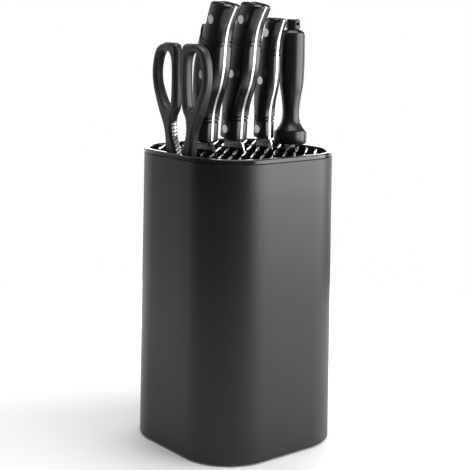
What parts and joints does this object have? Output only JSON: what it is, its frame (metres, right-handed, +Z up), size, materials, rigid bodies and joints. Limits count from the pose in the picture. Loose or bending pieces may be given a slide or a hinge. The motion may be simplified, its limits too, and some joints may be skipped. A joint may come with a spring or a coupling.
{
  "type": "knife block with knives",
  "caption": "Tall tapered countertop block with a lift-out slotted insert that holds riveted full-tang knives, a honing steel and kitchen scissors.",
  "frame": {"origin": "centre of the base, on the surface that the feet stand on", "axes": "+Z up, +X along the front row of tools from the scissors to the honing steel, -Y towards the knives' cutting edges"},
  "size_m": [0.129, 0.129, 0.3342],
  "materials": {
    "shell_plastic": "satin moulded black",
    "collar_plastic": "polished black rim",
    "insert_plastic": "plain moulded black",
    "vane_plastic": "shiny moulded black",
    "foot_rubber": "matt soft rubber",
    "handle_plastic": "polished black",
    "blade_steel": "ground and satin polished",
    "rivet_steel": "flush ground",
    "rod_steel": "fine lengthwise ribs",
    "scissor_grip": "soft satin black"
  },
  "bodies": {
    "housing": {"block_shell": "shell_plastic", "top_collar": "collar_plastic", "base_plate": "insert_plastic", "rubber_foot_1": "foot_rubber", "rubber_foot_2": "foot_rubber", "rubber_foot_3": "foot_rubber", "rubber_foot_4": "foot_rubber"},
    "insert": {"insert_tray": "insert_plastic", "vane_bank_1": "vane_plastic", "vane_bank_2": "vane_plastic", "vane_bank_3": "vane_plastic", "vane_bank_4": "vane_plastic"},
    "chef_knife": {"chef_knife_blade": "blade_steel", "chef_knife_scale_left": "handle_plastic", "chef_knife_scale_right": "handle_plastic", "chef_knife_rivet_1": "rivet_steel", "chef_knife_rivet_2": "rivet_steel", "chef_knife_rivet_3": "rivet_steel"},
    "slicing_knife": {"slicing_knife_blade": "blade_steel", "slicing_knife_scale_left": "handle_plastic", "slicing_knife_scale_right": "handle_plastic", "slicing_knife_rivet_1": "rivet_steel", "slicing_knife_rivet_2": "rivet_steel", "slicing_knife_rivet_3": "rivet_steel"},
    "utility_knife": {"utility_knife_blade": "blade_steel", "utility_knife_scale_left": "handle_plastic", "utility_knife_scale_right": "handle_plastic", "utility_knife_rivet_1": "rivet_steel", "utility_knife_rivet_2": "rivet_steel", "utility_knife_rivet_3": "rivet_steel"},
    "honing_steel": {"steel_rod": "rod_steel", "steel_guard": "handle_plastic", "steel_handle": "handle_plastic", "steel_end_cap": "handle_plastic"},
    "scissors_right_half": {"scissors_blade_right": "blade_steel", "scissors_handle_right": "scissor_grip", "scissors_pivot_rivet": "rivet_steel"},
    "scissors_left_half": {"scissors_blade_left": "blade_steel", "scissors_handle_left": "scissor_grip"}
  },
  "joints": [
    {"name": "insert_lift", "type": "slide", "parent": "housing", "child": "insert", "axis": [0, 0, 1], "range_m": [0, 0.22]},
    {"name": "chef_knife_draw", "type": "slide", "parent": "insert", "child": "chef_knife", "axis": [0, -0.1392, 0.9903], "range_m": [0, 0.215]},
    {"name": "slicing_knife_draw", "type": "slide", "parent": "insert", "child": "slicing_knife", "axis": [0, -0.1392, 0.9903], "range_m": [0, 0.215]},
    {"name": "utility_knife_draw", "type": "slide", "parent": "insert", "child": "utility_knife", "axis": [0, -0.0523, 0.9986], "range_m": [0, 0.14]},
    {"name": "honing_steel_draw", "type": "slide", "parent": "insert", "child": "honing_steel", "axis": [0, 0, 1], "range_m": [0, 0.22]},
    {"name": "scissors_draw", "type": "slide", "parent": "insert", "child": "scissors_right_half", "axis": [0, 0, 1], "range_m": [0, 0.125]},
    {"name": "scissors_open", "type": "hinge", "parent": "scissors_right_half", "child": "scissors_left_half", "pos_m": [-0.051, 0.0024, 0.198], "axis": [-1, 0, 0], "range_deg": [0, 15]}
  ]
}
